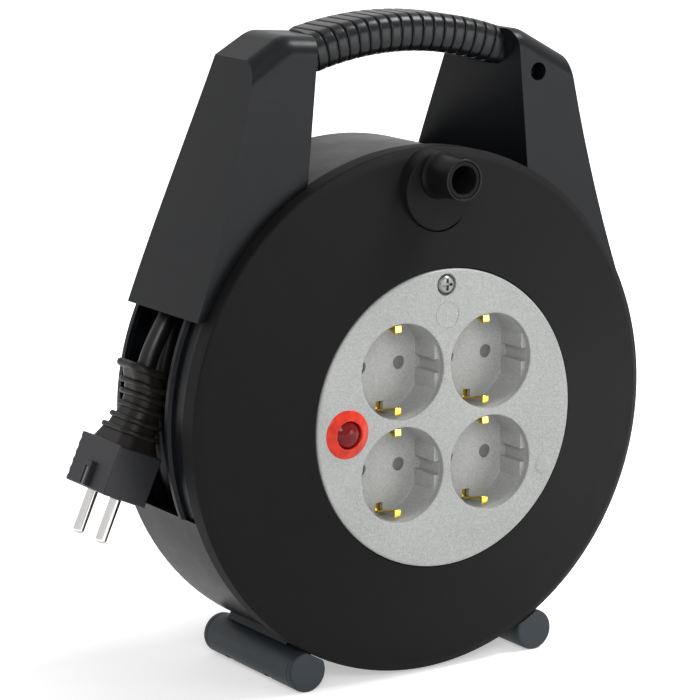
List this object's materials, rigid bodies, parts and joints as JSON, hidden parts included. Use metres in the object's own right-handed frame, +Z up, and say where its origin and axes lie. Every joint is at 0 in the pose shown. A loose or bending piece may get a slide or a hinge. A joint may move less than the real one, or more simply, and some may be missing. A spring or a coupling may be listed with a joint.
{
  "type": "extension cord reel",
  "caption": "box-type cord reel: a drum with mains sockets turns in a black housing with a ribbed top handle, winding knob, round feet and a plug on the lead",
  "frame": {"origin": "on the floor below the middle of the reel, under its two feet", "axes": "+X to the right seen from the socket side, +Y from the sockets to the back, +Z up; the drum turns about Y"},
  "size_m": [0.245, 0.1046, 0.2726],
  "materials": {
    "disc_black": "fine matte grain",
    "housing_black": "satin with a fine grain",
    "grip_black": "satin ribs",
    "foot_grey": "satin",
    "panel_grey": "finely speckled",
    "cup_grey": "satin",
    "red_plastic": "glossy",
    "red_clear": "glossy, slightly translucent",
    "inner_plastic": "plain",
    "brass": "bright stamped",
    "steel": "zinc plated",
    "pin_metal": "nickel plated",
    "cable_black": "satin",
    "plug_black": "satin"
  },
  "bodies": {
    "housing": {"housing_frame": "housing_black", "rear_cover": "housing_black", "housing_screws": "steel", "hub_washer": "steel", "hub_screw": "steel", "handle_core": "housing_black", "handle_grip": "grip_black", "foot_left": "foot_grey", "foot_right": "foot_grey", "foot_caps": "foot_grey", "foot_screws": "steel", "plug_body": "plug_black", "plug_sleeve": "plug_black", "plug_pin_front": "pin_metal", "plug_pin_rear": "pin_metal", "plug_earth_contacts": "brass", "cable_lead": "cable_black"},
    "drum": {"front_disc": "disc_black", "socket_panel": "panel_grey", "line_contact_bar": "brass", "neutral_contact_bar": "brass", "earth_bar": "brass", "contact_carrier": "inner_plastic", "panel_screw": "steel", "carrier_screw": "steel", "snap_plug": "panel_grey", "cutout_ring": "red_plastic", "button_spring": "steel", "cutout_body": "inner_plastic", "reel_core": "housing_black", "rear_flange": "housing_black", "drum_screws": "steel", "cable_gland": "inner_plastic", "gland_nut": "inner_plastic", "cable_tail": "cable_black", "cable_coil": "cable_black", "socket_cup_upper_left": "cup_grey", "earth_clip_upper_left": "brass", "socket_cup_upper_right": "cup_grey", "earth_clip_upper_right": "brass", "socket_cup_lower_left": "cup_grey", "earth_clip_lower_left": "brass", "socket_cup_lower_right": "cup_grey", "earth_clip_lower_right": "brass"},
    "knob": {"winding_knob": "disc_black"},
    "button": {"reset_button": "red_clear"}
  },
  "joints": [
    {"name": "drum_spin", "type": "hinge", "parent": "housing", "child": "drum", "pos_m": [0, 0.01965, 0.11069], "axis": [0, 1, 0], "continuous": true},
    {"name": "knob_spin", "type": "hinge", "parent": "drum", "child": "knob", "pos_m": [0, -0.04435, 0.20999], "axis": [0, 1, 0], "continuous": true},
    {"name": "reset_button_press", "type": "slide", "parent": "drum", "child": "button", "axis": [0, 1, 0], "range_m": [0, 0.0018], "stiffness_N_per_m": 400, "springref_m": -0.0008}
  ]
}
